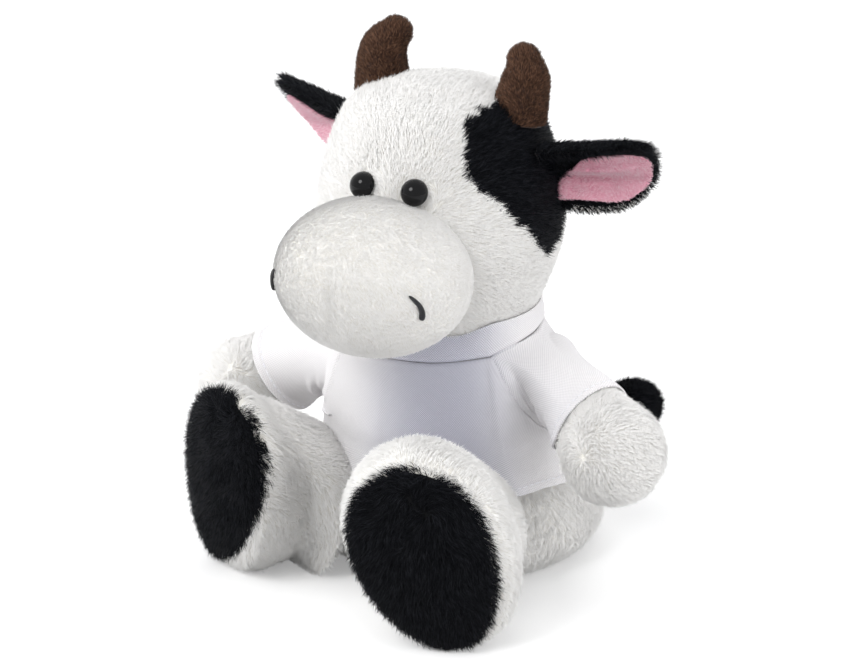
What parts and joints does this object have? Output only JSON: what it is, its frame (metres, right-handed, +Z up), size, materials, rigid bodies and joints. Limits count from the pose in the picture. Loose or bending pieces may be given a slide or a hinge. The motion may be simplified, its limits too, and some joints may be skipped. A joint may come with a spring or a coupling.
{
  "type": "soft toy",
  "caption": "Seated plush cow with soft horns, floppy limbs and ears, and a short-sleeved cloth shirt round its body.",
  "frame": {"origin": "the middle of the seat's flat underside, on the surface that the toy sits on", "axes": "+Z up, -Y the way the toy's body faces, +X the toy's own left-hand side"},
  "size_m": [0.2017, 0.1728, 0.2011],
  "materials": {
    "white_plush": "soft white pile about 6 mm long",
    "short_plush": "white pile about 2 mm long",
    "black_plush": "black pile about 6 mm long",
    "brown_plush": "brown pile about 2 mm long",
    "pink_plush": "pink pile about 1 mm long",
    "shirt_cloth": "plain white polyester mesh knit",
    "thread": "black embroidery thread",
    "filling": "loose white polyester fibre",
    "eye_plastic": "polished black",
    "washer_plastic": "moulded natural plastic"
  },
  "bodies": {
    "torso": {"torso_skin": "white_plush", "torso_filling": "filling", "shirt_front": "shirt_cloth", "shirt_back": "shirt_cloth", "shirt_collar": "shirt_cloth"},
    "head": {"head_skin": "white_plush", "head_patch": "black_plush", "head_filling": "filling", "muzzle": "short_plush", "eye_left": "eye_plastic", "eye_right": "eye_plastic", "eye_washer_left": "washer_plastic", "eye_washer_right": "washer_plastic", "nostril_left": "thread", "nostril_right": "thread", "horn_left": "brown_plush", "horn_right": "brown_plush"},
    "left_ear": {"ear_left": "black_plush", "ear_lining_left": "pink_plush"},
    "right_ear": {"ear_right": "black_plush", "ear_lining_right": "pink_plush"},
    "left_arm": {"arm_left": "white_plush", "sleeve_left": "shirt_cloth"},
    "right_arm": {"arm_right": "white_plush", "sleeve_right": "shirt_cloth"},
    "left_leg": {"leg_left": "white_plush", "sole_left": "black_plush"},
    "right_leg": {"leg_right": "white_plush", "sole_right": "black_plush"},
    "tail": {"tail": "white_plush", "tail_tuft": "black_plush"}
  },
  "joints": [
    {"name": "neck_turn", "type": "hinge", "parent": "torso", "child": "head", "pos_m": [0, -0.012, 0.095], "axis": [0, 0, 1], "range_deg": [-20, 20], "stiffness_Nm_per_rad": 0.15},
    {"name": "ear_left_flap", "type": "hinge", "parent": "head", "child": "left_ear", "pos_m": [0.0385, -0.00459, 0.154], "axis": [0.0696, -0.5008, 0.8627], "range_deg": [-18, 18], "stiffness_Nm_per_rad": 0.006},
    {"name": "ear_right_flap", "type": "hinge", "parent": "head", "child": "right_ear", "pos_m": [-0.03755, -0.00722, 0.158], "axis": [0.089, 0.8279, -0.5538], "range_deg": [-18, 18], "stiffness_Nm_per_rad": 0.006},
    {"name": "arm_left_raise", "type": "hinge", "parent": "torso", "child": "left_arm", "pos_m": [0.0415, 0, 0.079], "axis": [-0.5373, -0.8434, 0], "range_deg": [-8, 25], "stiffness_Nm_per_rad": 0.08},
    {"name": "arm_right_raise", "type": "hinge", "parent": "torso", "child": "right_arm", "pos_m": [-0.0415, 0, 0.079], "axis": [-0.5373, 0.8434, 0], "range_deg": [-8, 25], "stiffness_Nm_per_rad": 0.08},
    {"name": "leg_left_lift", "type": "hinge", "parent": "torso", "child": "left_leg", "pos_m": [0.0255, -0.037, 0.024], "axis": [-1, 0, 0], "range_deg": [0, 12], "stiffness_Nm_per_rad": 0.15},
    {"name": "leg_right_lift", "type": "hinge", "parent": "torso", "child": "right_leg", "pos_m": [-0.0255, -0.037, 0.024], "axis": [-1, 0, 0], "range_deg": [0, 12], "stiffness_Nm_per_rad": 0.15},
    {"name": "tail_swing", "type": "hinge", "parent": "torso", "child": "tail", "pos_m": [0, 0.04568, 0.03], "axis": [0, 0, 1], "range_deg": [-2, 60], "stiffness_Nm_per_rad": 0.004}
  ]
}
